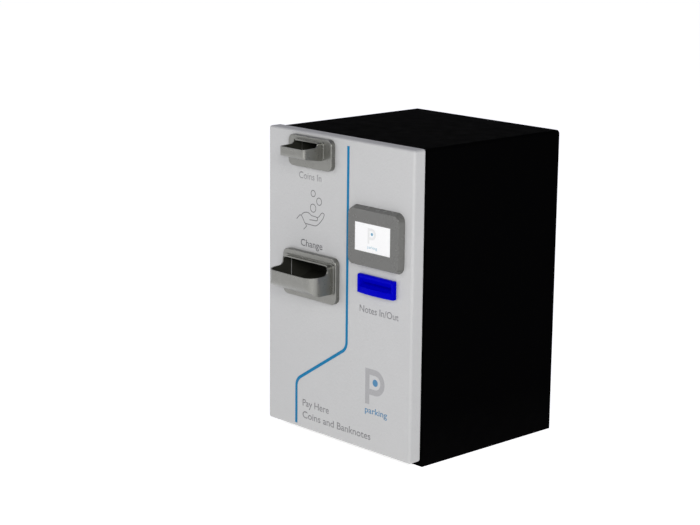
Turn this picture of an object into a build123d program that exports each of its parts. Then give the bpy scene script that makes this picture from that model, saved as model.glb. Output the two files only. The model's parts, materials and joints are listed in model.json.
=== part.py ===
from build123d import *
import os

# Compact automatic cash pay unit for a car park, in millimetres.
# Origin: centre of the cabinet's bottom face. +X to the right, front towards -Y, +Z up.

os.makedirs("parts", exist_ok=True)

# ---------------------------------------------------------------- driving dimensions

# cabinet
cabinet_width = 393.0
cabinet_depth = 363.0
cabinet_height = 602.5
cabinet_sheet = 2.0
cabinet_bend_r = 7.0
rear_ring_depth = 6.0
rear_flange_width = 16.0
rear_edge_r = 1.8
base_thickness = 2.5
anchor_spacing_x = 300.0
anchor_spacing_y = 280.0
anchor_hole_r = 5.5
cable_hole_r = 20.0
cable_hole_y = 125.0

# front frame and seal
frame_side = 30.0
frame_top = 20.0
frame_thickness = 3.0
seal_width = 8.0

# door
door_width = 400.0
door_height = 591.0
door_thickness = 30.0
door_gap = 7.5
door_bottom = 13.5
door_edge_r = 5.0
door_skin = 3.0
door_back_flange = 4.0
backplate_thickness = 2.0

# front devices: centre lines, sizes and how far they stand out of the door
cup_centre_x = -70.8
device_flange_thickness = 10.0
tray_centre_z = 567.6
tray_width = 70.0
change_centre_z = 327.5
change_width = 130.0
hood_reach = 20.5
boss_height = 2.2
boss_margin = 6.6
display_centre = (107.5, 428.2)
display_size = (133.0, 106.0)
display_draft = 4.6
display_reach = 13.0
screen_centre = (106.3, 429.4)
screen_size = (94.2, 53.8)
note_centre = (110.7, 339.0)
note_bezel_size = (96.0, 35.0)
note_bezel_reach = 8.0
note_slot = (84.0, 5.0)

# hinges
hinge_x = 196.0
knuckle_r = 3.4
hinge_pin_r = 1.5
hinge_length = 60.0
hinge_heights = (110.0, 510.0)
leaf_thickness = 1.5
running_clearance = 0.05

# lock
lock_y = -150.0
lock_z = 300.0
lock_body_r = 9.4
lock_barrel_r = 6.0
lock_end_x = -160.5

# modules
shelf_top = 260.0
coin_case_x = (-160.0, 17.0)
coin_case_y = (-130.0, 120.0)
coin_case_top = 502.0
disc_centre_z = 432.0
disc_r = 56.0
note_case_x = (56.0, 164.0)
note_case_y = (-150.0, 70.0)
note_case_top = 400.0
feed_roller_r = 9.0
feed_roller_z = 328.8
front_roller_y = -110.0
rear_roller_y = -20.0
note_motor_y = -65.0
note_motor_z = 310.0
roller_pulley_r = 8.0
motor_pulley_r = 6.0
case_sheet = 2.5

# cash boxes
cashbox_y = (-90.0, 90.0)
cashbox_tray_top = 35.0
cashbox_bottom = cashbox_tray_top + 0.3
note_box_x = (58.5, 161.5)
note_box_top = 236.0
coin_box_x = (-157.5, -12.5)
coin_box_top = 180.0

# ---------------------------------------------------------------- places worked out from them

side_x = cabinet_width / 2
inner_x = side_x - cabinet_sheet
front_y = -cabinet_depth / 2
back_y = cabinet_depth / 2
inner_top = cabinet_height - cabinet_sheet
inner_bend_r = cabinet_bend_r - cabinet_sheet
rear_inner_y = back_y - cabinet_sheet
rear_ring_y = back_y - rear_ring_depth
rear_window_x = inner_x - rear_flange_width
door_back_y = front_y - door_gap
door_front_y = door_back_y - door_thickness
door_top = door_bottom + door_height
hinge_y = front_y - 3.7
frame_inner_x = inner_x - frame_side
frame_inner_bottom = base_thickness + frame_side
frame_inner_top = inner_top - frame_top
screen_span_x = (screen_centre[0] - screen_size[0] / 2, screen_centre[0] + screen_size[0] / 2)
screen_span_z = (screen_centre[1] - screen_size[1] / 2, screen_centre[1] + screen_size[1] / 2)


# ---------------------------------------------------------------- helpers

def block(x, y, z, mode=Mode.ADD):
    """A box between the given low and high X, Y and Z, in the part being built."""
    with Locations(((x[0] + x[1]) / 2, (y[0] + y[1]) / 2, (z[0] + z[1]) / 2)):
        Box(x[1] - x[0], y[1] - y[0], z[1] - z[0], mode=mode)


def rod(start, end, radius, axis, mode=Mode.ADD):
    """A cylinder along a row axis from one end point, to the coordinate `end` on that axis."""
    directions = {"x": (1, 0, 0), "y": (0, 1, 0), "z": (0, 0, 1)}
    low = {"x": start[0], "y": start[1], "z": start[2]}[axis]
    with BuildSketch(Plane(origin=start, z_dir=directions[axis])) as section:
        Circle(radius)
    extrude(section.sketch, amount=end - low, mode=mode)


def side_plate(points, x, mode=Mode.ADD):
    """A closed outline of (y, z) points, extruded between the low and high X."""
    with BuildSketch(Plane.YZ.offset(x[0])) as outline:
        with BuildLine():
            Polyline(*points, close=True)
        make_face()
    extrude(outline.sketch, amount=x[1] - x[0], mode=mode)


def out(reach):
    """Y of a point that stands `reach` in front of the door's front face."""
    return door_front_y - reach


def front_plane(x, z, reach=0.0):
    """A sketch plane in front of the door, its normal pointing at the user."""
    return Plane(origin=(x, out(reach), z), x_dir=(1, 0, 0), z_dir=(0, -1, 0))


# ---------------------------------------------------------------- cabinet

rear_screw_places = [
    (x, z) for x in (-187.0, 187.0) for z in (60.0, 200.0, 340.0, 480.0)
] + [(x, z) for x in (-90.0, 90.0) for z in (9.5, 592.5)]



def cabinet_hollow(y):
    """The space inside the cabinet's sheet, between the low and high Y."""
    with BuildPart() as hollow:
        block((-inner_x, inner_x), y, (-1, inner_top))
        fillet(hollow.edges().filter_by(Axis.Y).group_by(Axis.Z)[-1], radius=inner_bend_r)
    return hollow.part


with BuildPart() as cabinet_shell:
    block((-side_x, side_x), (front_y, rear_ring_y), (0, cabinet_height))
    fillet(cabinet_shell.edges().filter_by(Axis.Y).group_by(Axis.Z)[-1], radius=cabinet_bend_r)
    add(cabinet_hollow((front_y - 1, rear_ring_y + 1)), mode=Mode.SUBTRACT)
    rod((-side_x - 1, lock_y, lock_z), -inner_x + 1, lock_body_r + 0.1, "x", Mode.SUBTRACT)
cabinet_shell.part.label = "cabinet_shell"
export_step(cabinet_shell.part, "parts/cabinet_shell.step")

# ring welded to the back of the shell, turned inwards as a flange for the rear panel
with BuildPart() as rear_ring:
    block((-side_x, side_x), (rear_ring_y, back_y), (0, cabinet_height))
    top_edges = rear_ring.edges().filter_by(Axis.Y).group_by(Axis.Z)[-1]
    fillet(top_edges, radius=cabinet_bend_r)
    back_edges = rear_ring.faces().sort_by(Axis.Y)[-1].edges()
    fillet([edge for edge in back_edges if edge.center().Z > 1], radius=rear_edge_r)
    add(cabinet_hollow((rear_ring_y - 1, rear_inner_y)), mode=Mode.SUBTRACT)
    block((-rear_window_x, rear_window_x), (rear_inner_y - 1, back_y + 1),
          (rear_flange_width, inner_top - rear_flange_width), Mode.SUBTRACT)
    for screw_x, screw_z in rear_screw_places:
        rod((screw_x, rear_inner_y - 1, screw_z), back_y + 1, 2.0, "y", Mode.SUBTRACT)
rear_ring.part.label = "rear_ring"
export_step(rear_ring.part, "parts/rear_ring.step")

with BuildPart() as base_plate:
    block((-inner_x, inner_x), (front_y, rear_inner_y), (0, base_thickness))
    with BuildSketch(Plane.XY):
        with GridLocations(anchor_spacing_x, anchor_spacing_y, 2, 2):
            Circle(anchor_hole_r)
        with Locations((0, cable_hole_y)):
            Circle(cable_hole_r)
    extrude(amount=base_thickness, mode=Mode.SUBTRACT)
base_plate.part.label = "base_plate"
export_step(base_plate.part, "parts/base_plate.step")

with BuildPart() as front_frame:
    block((-inner_x, inner_x), (front_y, front_y + frame_thickness), (base_thickness, inner_top))
    fillet(front_frame.edges().filter_by(Axis.Y).group_by(Axis.Z)[-1], radius=inner_bend_r)
    block((-frame_inner_x, frame_inner_x), (front_y - 1, front_y + frame_thickness + 1),
          (frame_inner_bottom, frame_inner_top), Mode.SUBTRACT)
front_frame.part.label = "front_frame"
export_step(front_frame.part, "parts/front_frame.step")

seal_outer_x = hinge_x - 19.0
seal_bottom = 18.0
seal_top = 592.0
with BuildPart() as door_seal:
    seal_y = (door_back_y + 0.3, front_y)
    block((-seal_outer_x, seal_outer_x), seal_y, (seal_bottom, seal_top))
    fillet(door_seal.edges().filter_by(Axis.Y), radius=6)
    with BuildSketch(Plane.XZ.offset(-front_y)) as seal_hole:
        with Locations((0, (seal_bottom + seal_top) / 2)):
            RectangleRounded(2 * (seal_outer_x - seal_width), seal_top - seal_bottom - 2 * seal_width, 3)
    extrude(seal_hole.sketch, amount=10, both=True, mode=Mode.SUBTRACT)
door_seal.part.label = "door_seal"
export_step(door_seal.part, "parts/door_seal.step")

# rear panel, screwed on from inside against the rear ring's flange
panel_y = (rear_inner_y - 1.5, rear_inner_y)
inlet_x = -62.0
inlet_z = 215.0
inlet_cutout = (47.0, 28.0)
with BuildPart() as rear_panel:
    block((-192, 192), panel_y, (3, 599))
    with BuildSketch(Plane.XZ.offset(-panel_y[1])):
        with Locations((-95, 500), (95, 500)):
            with GridLocations(0, 12, 1, 9):
                SlotOverall(110, 4.5)
        with Locations((-95, 90), (95, 90)):
            with GridLocations(0, 12, 1, 5):
                SlotOverall(110, 4.5)
        with Locations((inlet_x, inlet_z)):
            Rectangle(*inlet_cutout)
        with Locations(*rear_screw_places):
            Circle(2.2)
    extrude(amount=4, both=True, mode=Mode.SUBTRACT)
rear_panel.part.label = "rear_panel"
export_step(rear_panel.part, "parts/rear_panel.step")

with BuildPart() as rear_panel_screws:
    for screw_x, screw_z in rear_screw_places:
        rod((screw_x, panel_y[0] - 2.2, screw_z), panel_y[0], 3.8, "y")
        rod((screw_x, panel_y[0], screw_z), back_y, 1.95, "y")
    for screw_x, screw_z in rear_screw_places:
        block((screw_x - 3, screw_x + 3), (panel_y[0] - 3, panel_y[0] - 1.2),
              (screw_z - 0.5, screw_z + 0.5), Mode.SUBTRACT)
rear_panel_screws.part.label = "rear_panel_screws"
export_step(rear_panel_screws.part, "parts/rear_panel_screws.step")

with BuildPart() as cable_grommet:
    rod((0, cable_hole_y, 0.3), base_thickness, cable_hole_r, "z")
    rod((0, cable_hole_y, base_thickness), base_thickness + 3, cable_hole_r + 4, "z")
    fillet(cable_grommet.edges().sort_by(Axis.Z)[-1], radius=1)
    rod((0, cable_hole_y, -1), base_thickness + 4, 14, "z", Mode.SUBTRACT)
cable_grommet.part.label = "cable_grommet"
export_step(cable_grommet.part, "parts/cable_grommet.step")

# shelf that carries both cash modules, with the two drop sleeves below it
coin_drop_x = (-110.0, -40.0)
coin_drop_y = (-40.0, 20.0)
note_drop_x = (68.0, 152.0)
note_drop_y = (-60.0, 40.0)
shelf_y = (-140.0, 150.0)
with BuildPart() as module_shelf:
    shelf_z = (shelf_top - 2, shelf_top)
    block((-inner_x, inner_x), shelf_y, shelf_z)
    for low_y, high_y in ((shelf_y[0], shelf_y[0] + 2), (shelf_y[1] - 2, shelf_y[1])):
        block((-inner_x, inner_x), (low_y, high_y), (shelf_top - 17, shelf_top))
    for low_x, high_x in ((-inner_x, -inner_x + 2), (inner_x - 2, inner_x)):
        block((low_x, high_x), shelf_y, (shelf_top - 25, shelf_top))
    block((coin_drop_x[0] - 2, coin_drop_x[1] + 2), (coin_drop_y[0] - 2, coin_drop_y[1] + 2),
          (coin_box_top + 3, shelf_top))
    block((note_drop_x[0] - 2, note_drop_x[1] + 2), (note_drop_y[0] - 2, note_drop_y[1] + 2),
          (note_box_top + 2, shelf_top))
    block(coin_drop_x, coin_drop_y, (100, 300), Mode.SUBTRACT)
    block(note_drop_x, note_drop_y, (100, 300), Mode.SUBTRACT)
    with BuildSketch(Plane.XY.offset(shelf_top)):
        with Locations((36, 100)):
            RectangleRounded(22, 60, 5)
    extrude(amount=-5, mode=Mode.SUBTRACT)
module_shelf.part.label = "module_shelf"
export_step(module_shelf.part, "parts/module_shelf.step")

# ---------------------------------------------------------------- hinges

end_knuckle = 19.85
middle_knuckle = hinge_length / 2 - end_knuckle - 0.3


def leaf_holes(y, amount):
    """Two screw holes through each hinge leaf."""
    for height in hinge_heights:
        for dz in (-18.0, 18.0):
            rod((186.0, y, height + dz), y + amount, 1.7, "y", Mode.SUBTRACT)


with BuildPart() as cabinet_hinge_leaves:
    for height in hinge_heights:
        block((180, hinge_x - 1), (front_y - leaf_thickness, front_y),
              (height - hinge_length / 2, height + hinge_length / 2))
    for height in hinge_heights:
        block((hinge_x - 5.5, hinge_x), (front_y - leaf_thickness - 1, front_y + 1),
              (height - middle_knuckle - 0.3, height + middle_knuckle + 0.3), Mode.SUBTRACT)
        for low_z in (height - hinge_length / 2, height + hinge_length / 2 - end_knuckle):
            rod((hinge_x, hinge_y, low_z), low_z + end_knuckle, knuckle_r, "z")
        rod((hinge_x, hinge_y, height - 40), height + 40, hinge_pin_r, "z", Mode.SUBTRACT)
    leaf_holes(front_y + 1, -4)
cabinet_hinge_leaves.part.label = "cabinet_hinge_leaves"
export_step(cabinet_hinge_leaves.part, "parts/cabinet_hinge_leaves.step")

with BuildPart() as door_hinge_leaves:
    for height in hinge_heights:
        block((180, hinge_x - 1), (door_back_y, door_back_y + leaf_thickness),
              (height - hinge_length / 2, height + hinge_length / 2))
    for height in hinge_heights:
        for low_z in (height - hinge_length / 2 - 1, height + middle_knuckle):
            block((hinge_x - 5.5, hinge_x), (door_back_y - 1, door_back_y + leaf_thickness + 1),
                  (low_z, low_z + end_knuckle + 1.3), Mode.SUBTRACT)
        rod((hinge_x, hinge_y, height - middle_knuckle), height + middle_knuckle, knuckle_r, "z")
        block((hinge_x - 4, hinge_x), (door_back_y, hinge_y),
              (height - middle_knuckle, height + middle_knuckle))
        rod((hinge_x, hinge_y, height - 40), height + 40, hinge_pin_r + running_clearance, "z",
            Mode.SUBTRACT)
    leaf_holes(door_back_y - 1, 4)
door_hinge_leaves.part.label = "door_hinge_leaves"
export_step(door_hinge_leaves.part, "parts/door_hinge_leaves.step")

with BuildPart() as hinge_pins:
    for height in hinge_heights:
        rod((hinge_x, hinge_y, height - hinge_length / 2), height + hinge_length / 2, hinge_pin_r, "z")
        for head_z in (height - hinge_length / 2 - 1.5, height + hinge_length / 2):
            rod((hinge_x, hinge_y, head_z), head_z + 1.5, 2.6, "z")
hinge_pins.part.label = "hinge_pins"
export_step(hinge_pins.part, "parts/hinge_pins.step")

# ---------------------------------------------------------------- lock in the left wall

with BuildPart() as lock_housing:
    rod((-side_x - 3, lock_y, lock_z), -side_x, 12, "x")
    fillet(lock_housing.edges().sort_by(Axis.X)[0], radius=1.2)
    rod((-side_x, lock_y, lock_z), lock_end_x, lock_body_r, "x")
    rod((-side_x - 4, lock_y, lock_z), lock_end_x + 1, lock_barrel_r + running_clearance, "x",
        Mode.SUBTRACT)
lock_housing.part.label = "lock_housing"
export_step(lock_housing.part, "parts/lock_housing.step")

with BuildPart() as lock_nut:
    with BuildSketch(Plane(origin=(-inner_x, lock_y, lock_z), z_dir=(1, 0, 0))):
        RegularPolygon(13.5, 6)
        Circle(lock_body_r + running_clearance, mode=Mode.SUBTRACT)
    extrude(amount=4)
lock_nut.part.label = "lock_nut"
export_step(lock_nut.part, "parts/lock_nut.step")

cam_x = (lock_end_x + 0.6, lock_end_x + 3.1)
with BuildPart() as lock_barrel:
    rod((-side_x - 2.7, lock_y, lock_z), lock_end_x + 0.6, lock_barrel_r, "x")
    block((-side_x - 3, -side_x - 0.7), (lock_y - 0.7, lock_y + 0.7), (lock_z - 3.6, lock_z + 3.6),
          Mode.SUBTRACT)
    block((cam_x[0], cam_x[1] + 1.5), (lock_y - 3, lock_y + 3), (lock_z - 3, lock_z + 3))
lock_barrel.part.label = "lock_barrel"
export_step(lock_barrel.part, "parts/lock_barrel.step")

with BuildPart() as lock_cam:
    with BuildSketch(Plane(origin=(cam_x[0], lock_y, lock_z), x_dir=(0, 1, 0), z_dir=(1, 0, 0))):
        with Locations((-10.5, 0)):
            SlotOverall(31, 12)
        Rectangle(6, 6, mode=Mode.SUBTRACT)
    extrude(amount=cam_x[1] - cam_x[0])
lock_cam.part.label = "lock_cam"
export_step(lock_cam.part, "parts/lock_cam.step")

# ---------------------------------------------------------------- power and control

socket_centre_x = inlet_x - 11.0
rocker_x = inlet_x + 14.5
inlet_body_y = (150.0, rear_inner_y)
rocker_pivot_y = 174.0
rocker_pin_r = 1.2
with BuildPart() as power_inlet:
    block((inlet_x - 27, inlet_x + 27), (rear_inner_y, back_y), (inlet_z - 17, inlet_z + 17))
    fillet(power_inlet.edges().filter_by(Axis.Y), radius=4)
    block((inlet_x - 23.4, inlet_x + 23.4), inlet_body_y, (inlet_z - 13.9, inlet_z + 13.9))
    block((socket_centre_x - 10, socket_centre_x + 10), (165, back_y + 1),
          (inlet_z - 11.5, inlet_z + 11.5), Mode.SUBTRACT)
    block((rocker_x - 6.2, rocker_x + 6.2), (162, back_y + 1), (inlet_z - 11, inlet_z + 11),
          Mode.SUBTRACT)
    for pin_dx, pin_dz in ((-6.0, -3.0), (0.0, 3.0), (6.0, -3.0)):
        block((socket_centre_x + pin_dx - 1, socket_centre_x + pin_dx + 1), (163, 178),
              (inlet_z + pin_dz - 2, inlet_z + pin_dz + 2))
    rod((rocker_x - 7.3, rocker_pivot_y, inlet_z), rocker_x + 7.3, rocker_pin_r + running_clearance,
        "x", Mode.SUBTRACT)
    for tab_dx in (-16.0, -8.0, 8.0, 16.0):
        block((inlet_x + tab_dx - 0.4, inlet_x + tab_dx + 0.4), (142, 151), (inlet_z - 3, inlet_z + 3))
power_inlet.part.label = "power_inlet"
export_step(power_inlet.part, "parts/power_inlet.step")

# the rocker stands tipped at rest and swings the same angle past level
rocker_tip = 6.0
rocker_plane = Plane(origin=(rocker_x, rocker_pivot_y, inlet_z), x_dir=(1, 0, 0), z_dir=(0, 1, 0))
with BuildPart() as rocker_button:
    with BuildSketch(rocker_plane.rotated((rocker_tip, 0, 0))):
        RectangleRounded(11.6, 18.6, 1)
    extrude(amount=6.5)
    extrude(rocker_button.faces().sort_by(Axis.Y)[0], amount=3)
    rod((rocker_x - 7, rocker_pivot_y, inlet_z), rocker_x + 7, rocker_pin_r, "x")
rocker_button.part.label = "rocker_button"
export_step(rocker_button.part, "parts/rocker_button.step")

with BuildPart() as power_supply:
    block((-100, 100), (panel_y[0] - 46, panel_y[0]), (46, 150))
    fillet(power_supply.edges().filter_by(Axis.Y), radius=2)
    block((70, 101), (panel_y[0] - 47, panel_y[0] - 20), (50, 146), Mode.SUBTRACT)
    block((74, 92), (panel_y[0] - 34, panel_y[0] - 20), (54, 142))
    with BuildSketch(Plane.XZ.offset(46 - panel_y[0])):
        with Locations((-25, 98)):
            with HexLocations(3.2, 20, 12):
                Circle(2.0)
    extrude(amount=-1, mode=Mode.SUBTRACT)
power_supply.part.label = "power_supply"
export_step(power_supply.part, "parts/power_supply.step")

board_x = (187.9, 189.5)
board_y = (-60.0, 100.0)
board_z = (430.0, 570.0)
board_hole_places = [(y, z) for y in (board_y[0] + 6, board_y[1] - 6)
                     for z in (board_z[0] + 6, board_z[1] - 6)]
with BuildPart() as control_board:
    block(board_x, board_y, board_z)
    for low_y in (-45.0, -15.0, 15.0, 45.0):
        block((board_x[0] - 11, board_x[0]), (low_y, low_y + 22), (board_z[0] + 2, board_z[0] + 14))
    block((board_x[0] - 3, board_x[0]), (-20, 12), (490, 522))
    block((board_x[0] - 2, board_x[0]), (30, 50), (500, 514))
    block((board_x[0] - 14, board_x[0]), (60, 84), (530, 560))
    for cap_y in (-45.0, -30.0):
        rod((board_x[0], cap_y, 550), board_x[0] - 16, 6, "x")
    for hole_y, hole_z in board_hole_places:
        rod((board_x[0] - 1, hole_y, hole_z), board_x[1] + 1, 1.6, "x", Mode.SUBTRACT)
control_board.part.label = "control_board"
export_step(control_board.part, "parts/control_board.step")

with BuildPart() as board_standoffs:
    for hole_y, hole_z in board_hole_places:
        rod((board_x[1], hole_y, hole_z), inner_x, 3, "x")
        rod((board_x[0], hole_y, hole_z), board_x[1], 1.5, "x")
        rod((board_x[0] - 2, hole_y, hole_z), board_x[0], 2.8, "x")
board_standoffs.part.label = "board_standoffs"
export_step(board_standoffs.part, "parts/board_standoffs.step")

# ---------------------------------------------------------------- coin unit

payout_window = (-104.0, -39.0)
with BuildPart() as coin_unit_case:
    block(coin_case_x, coin_case_y, (shelf_top, coin_case_top))
    fillet(coin_unit_case.edges().filter_by(Axis.Z), radius=3)
    block((coin_case_x[0] + case_sheet, coin_case_x[1] - case_sheet),
          (coin_case_y[0] + case_sheet, coin_case_y[1] - case_sheet),
          (shelf_top + case_sheet, coin_case_top + 1), Mode.SUBTRACT)
    block(payout_window, (coin_case_y[0] - 1, coin_case_y[0] + 4), (342, 386), Mode.SUBTRACT)
    block(coin_drop_x, coin_drop_y, (shelf_top - 1, shelf_top + 4), Mode.SUBTRACT)
    with BuildSketch(Plane.YZ.offset(coin_case_x[1])):
        with Locations((40, 440)):
            with GridLocations(0, 12, 1, 6):
                SlotOverall(90, 4)
    extrude(amount=-5, mode=Mode.SUBTRACT)
coin_unit_case.part.label = "coin_unit_case"
export_step(coin_unit_case.part, "parts/coin_unit_case.step")

cover_top = coin_case_top + 3
funnel_x = (-113.0, -30.0)
with BuildPart() as coin_unit_cover:
    block(coin_case_x, coin_case_y, (coin_case_top, cover_top))
    fillet(coin_unit_cover.edges().filter_by(Axis.Z), radius=3)
    block((funnel_x[0] + 9, funnel_x[1] - 9), (-124, -82), (coin_case_top - 1, cover_top + 1),
          Mode.SUBTRACT)
    block((coin_case_x[0] + case_sheet + 0.2, coin_case_x[1] - case_sheet - 0.2),
          (coin_case_y[1] - case_sheet - 3.2, coin_case_y[1] - case_sheet - 0.2),
          (coin_case_top - 8, coin_case_top))
coin_unit_cover.part.label = "coin_unit_cover"
export_step(coin_unit_cover.part, "parts/coin_unit_cover.step")

funnel_rim = 529.0
with BuildPart() as coin_funnel:
    side_plate([(-172, funnel_rim), (-172, 524), (-125, cover_top), (-80, cover_top),
                (-80, funnel_rim)], funnel_x)
    side_plate([(-170.5, funnel_rim + 1), (-170.5, 525), (-123.8, cover_top - 1),
                (-81.5, cover_top - 1), (-81.5, funnel_rim + 1)],
               (funnel_x[0] + 1.5, funnel_x[1] - 1.5), Mode.SUBTRACT)
coin_funnel.part.label = "coin_funnel"
export_step(coin_funnel.part, "parts/coin_funnel.step")

with BuildPart() as coin_validator:
    block((-98, -45), (-122, -84), (446, 500))
    fillet(coin_validator.edges().filter_by(Axis.Z), radius=2)
    block((-90, -53), (-106, -101), (445, 501), Mode.SUBTRACT)
    block((-99, -96), (-116, -90), (452, 492), Mode.SUBTRACT)
coin_validator.part.label = "coin_validator"
export_step(coin_validator.part, "parts/coin_validator.step")

hopper_frame_y = (-64.0, -60.0)
with BuildPart() as hopper_frame:
    block((-150, 7), hopper_frame_y, (shelf_top + case_sheet, 496))
    block((-150, 7), (hopper_frame_y[1], -20), (shelf_top + case_sheet, shelf_top + case_sheet + 3))
    for rib_x in (-150.0, 4.0):
        side_plate([(hopper_frame_y[1], shelf_top + case_sheet), (-20, shelf_top + case_sheet),
                    (hopper_frame_y[1], 330)], (rib_x, rib_x + 3))
    block((coin_drop_x[0], coin_drop_x[1]), (-40, -19), (shelf_top, shelf_top + 8), Mode.SUBTRACT)
    rod((cup_centre_x, hopper_frame_y[0] - 1, disc_centre_z), hopper_frame_y[1] + 1, 6, "y",
        Mode.SUBTRACT)
hopper_frame.part.label = "hopper_frame"
export_step(hopper_frame.part, "parts/hopper_frame.step")

disc_y = (-73.0, -67.0)
with BuildPart() as hopper_disc:
    rod((cup_centre_x, disc_y[0], disc_centre_z), disc_y[1], disc_r, "y")
    with BuildSketch(Plane(origin=(cup_centre_x, disc_y[0], disc_centre_z), z_dir=(0, 1, 0))):
        with PolarLocations(38, 6):
            Circle(14)
    extrude(amount=disc_y[1] - disc_y[0], mode=Mode.SUBTRACT)
    rod((cup_centre_x, disc_y[0] - 4, disc_centre_z), disc_y[0], 12, "y")
    rod((cup_centre_x, disc_y[1], disc_centre_z), -45, 4, "y")
hopper_disc.part.label = "hopper_disc"
export_step(hopper_disc.part, "parts/hopper_disc.step")

with BuildPart() as hopper_motor:
    rod((cup_centre_x, hopper_frame_y[1], disc_centre_z), -28, 24, "y")
    rod((cup_centre_x, -28, disc_centre_z), 22, 18, "y")
    rod((cup_centre_x, 22, disc_centre_z), 26, 7, "y")
    rod((cup_centre_x, hopper_frame_y[1] - 1, disc_centre_z), -43, 4 + running_clearance, "y",
        Mode.SUBTRACT)
hopper_motor.part.label = "hopper_motor"
export_step(hopper_motor.part, "parts/hopper_motor.step")

bowl_r = 62.5
with BuildPart() as coin_bowl:
    with BuildSketch(Plane.XZ.offset(76)):
        with Locations((cup_centre_x, disc_centre_z)):
            Circle(bowl_r)
        with Locations((cup_centre_x, disc_centre_z + 50)):
            Rectangle(2 * bowl_r, 100)
        with Locations((cup_centre_x, disc_centre_z + 58)):
            Rectangle(2 * bowl_r + 2, 100, mode=Mode.SUBTRACT)
    extrude(amount=50)
    with BuildSketch(Plane.XZ.offset(75)):
        with Locations((cup_centre_x, disc_centre_z)):
            Circle(bowl_r - 2.5)
        with Locations((cup_centre_x, disc_centre_z + 50)):
            Rectangle(2 * bowl_r - 5, 100)
    extrude(amount=48.5, mode=Mode.SUBTRACT)
    rod((cup_centre_x, -100, disc_centre_z), disc_centre_z - bowl_r - 5, 14, "z", Mode.SUBTRACT)
coin_bowl.part.label = "coin_bowl"
export_step(coin_bowl.part, "parts/coin_bowl.step")

# sloping trough from under the bowl to the change throat in the door
chute_x = (-100.0, -43.0)
with BuildPart() as payout_chute:
    side_plate([(-76, 354), (-172, 344), (-172, 359), (-76, 368)], chute_x)
    side_plate([(-78, 356), (-174, 345.8), (-174, 370), (-78, 370)],
               (chute_x[0] + 2, chute_x[1] - 2), Mode.SUBTRACT)
payout_chute.part.label = "payout_chute"
export_step(payout_chute.part, "parts/payout_chute.step")

# ---------------------------------------------------------------- note unit

note_path_z = note_centre[1]
with BuildPart() as note_unit_case:
    block(note_case_x, note_case_y, (shelf_top, note_case_top))
    fillet(note_unit_case.edges().filter_by(Axis.Z), radius=3)
    block((note_case_x[0] + case_sheet, note_case_x[1] - case_sheet),
          (note_case_y[0] + case_sheet, note_case_y[1] - case_sheet),
          (shelf_top + case_sheet, note_case_top + 1), Mode.SUBTRACT)
    block(note_drop_x, (note_case_y[0] - 1, note_case_y[0] + 4), (note_path_z - 7, note_path_z + 7),
          Mode.SUBTRACT)
    block(note_drop_x, note_drop_y, (shelf_top - 1, shelf_top + 4), Mode.SUBTRACT)
note_unit_case.part.label = "note_unit_case"
export_step(note_unit_case.part, "parts/note_unit_case.step")

with BuildPart() as note_unit_cover:
    block(note_case_x, note_case_y, (note_case_top, note_case_top + 3))
    fillet(note_unit_cover.edges().filter_by(Axis.Z), radius=3)
    with BuildSketch(Plane.XY.offset(note_case_top + 3)):
        with Locations((note_centre[0], -40)):
            with GridLocations(0, 12, 1, 5):
                SlotOverall(70, 4)
    extrude(amount=-3, mode=Mode.SUBTRACT)
note_unit_cover.part.label = "note_unit_cover"
export_step(note_unit_cover.part, "parts/note_unit_cover.step")

frame_plate_x = ((58.5, 60.5), (148.0, 150.0))
with BuildPart() as note_frame:
    for plate_x in frame_plate_x:
        block(plate_x, (-140, 50), (shelf_top + case_sheet, 362))
    for bar_y, bar_z in ((-132.0, 356.0), (42.0, 356.0), (-132.0, 275.0), (44.0, 275.0)):
        rod((frame_plate_x[0][1], bar_y, bar_z), frame_plate_x[1][0], 4, "x")
    for roller_y in (front_roller_y, rear_roller_y):
        rod((50, roller_y, feed_roller_z), 160, 3 + running_clearance, "x", Mode.SUBTRACT)
    rod((140, note_motor_y, note_motor_z), 155, 4, "x", Mode.SUBTRACT)
note_frame.part.label = "note_frame"
export_step(note_frame.part, "parts/note_frame.step")

guide_x = (frame_plate_x[0][1], frame_plate_x[1][0])
roller_bands = ((76.0, 90.0), (97.0, 111.0), (118.0, 132.0))
with BuildPart() as note_lower_guide:
    block(guide_x, (-146, 50), (note_path_z - 3.5, note_path_z - 1.5))
    for band in roller_bands:
        for roller_y in (front_roller_y, rear_roller_y):
            block((band[0] - 1, band[1] + 1), (roller_y - 8, roller_y + 8),
                  (note_path_z - 5, note_path_z), Mode.SUBTRACT)
note_lower_guide.part.label = "note_lower_guide"
export_step(note_lower_guide.part, "parts/note_lower_guide.step")

with BuildPart() as note_upper_guide:
    block(guide_x, (-146, 50), (note_path_z + 1.5, note_path_z + 3.5))
    for rib_y in (-95.0, -50.0, -5.0):
        block(guide_x, (rib_y, rib_y + 2), (note_path_z + 3.5, note_path_z + 10))
note_upper_guide.part.label = "note_upper_guide"
export_step(note_upper_guide.part, "parts/note_upper_guide.step")


def feed_roller(roller_y):
    """Shaft with three rubber rollers and a belt pulley, turning in the note frame."""
    with BuildPart() as roller:
        rod((57.5 + 1.5, roller_y, feed_roller_z), 159, 3, "x")
        for band in roller_bands:
            rod((band[0], roller_y, feed_roller_z), band[1], feed_roller_r, "x")
        rod((151.5, roller_y, feed_roller_z), 158.5, roller_pulley_r, "x")
    return roller


front_feed_roller = feed_roller(front_roller_y)
front_feed_roller.part.label = "front_feed_roller"
export_step(front_feed_roller.part, "parts/front_feed_roller.step")

rear_feed_roller = feed_roller(rear_roller_y)
rear_feed_roller.part.label = "rear_feed_roller"
export_step(rear_feed_roller.part, "parts/rear_feed_roller.step")

with BuildPart() as note_motor:
    rod((100, note_motor_y, note_motor_z), frame_plate_x[1][0], 14, "x")
    rod((97, note_motor_y, note_motor_z), 100, 5, "x")
    rod((130, note_motor_y, note_motor_z), 149, 1.5 + running_clearance, "x", Mode.SUBTRACT)
note_motor.part.label = "note_motor"
export_step(note_motor.part, "parts/note_motor.step")

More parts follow.
